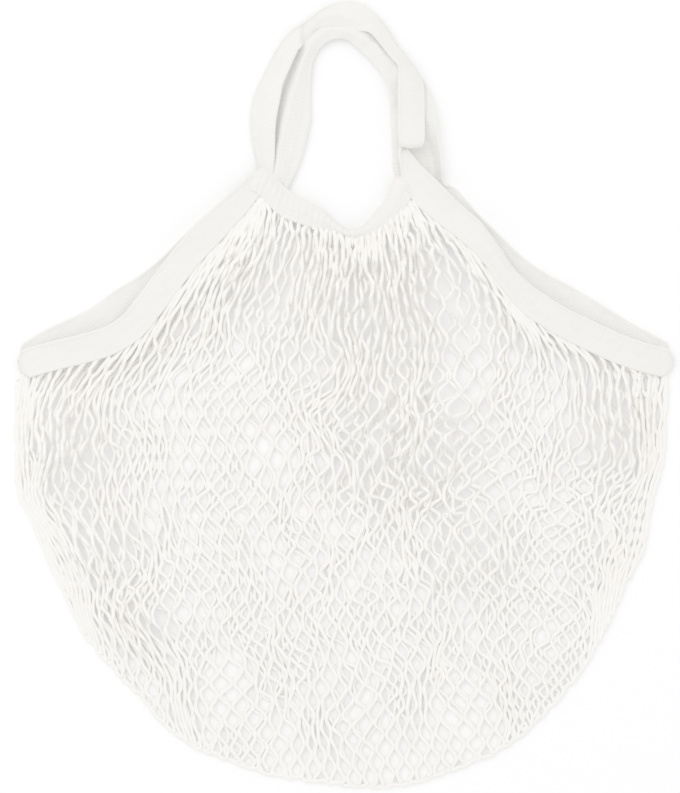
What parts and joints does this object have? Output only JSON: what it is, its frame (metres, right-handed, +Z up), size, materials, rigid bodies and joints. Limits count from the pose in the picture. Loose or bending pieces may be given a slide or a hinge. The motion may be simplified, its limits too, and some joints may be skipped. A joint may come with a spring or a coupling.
{
  "type": "net shopping bag",
  "caption": "Open-mesh cotton net shopping bag, empty and lying flat, with knitted tape edges that run on as its two handles.",
  "frame": {"origin": "on the surface that the bag lies on, under the middle of its outline", "axes": "+X across the bag to its right corner, +Y from its rounded bottom to its handles, +Z up from the surface"},
  "size_m": [0.4066, 0.4836, 0.0158],
  "materials": {
    "net_cord": "soft undyed cotton cord, matte",
    "heading_band": "ribbed knitted cotton, matte",
    "edge_tape": "flat knitted cotton tape, matte"
  },
  "bodies": {
    "root": {"net_body": "net_cord", "front_heading": "heading_band", "back_heading": "heading_band", "front_tape": "edge_tape", "back_tape": "edge_tape"}
  },
  "joints": []
}
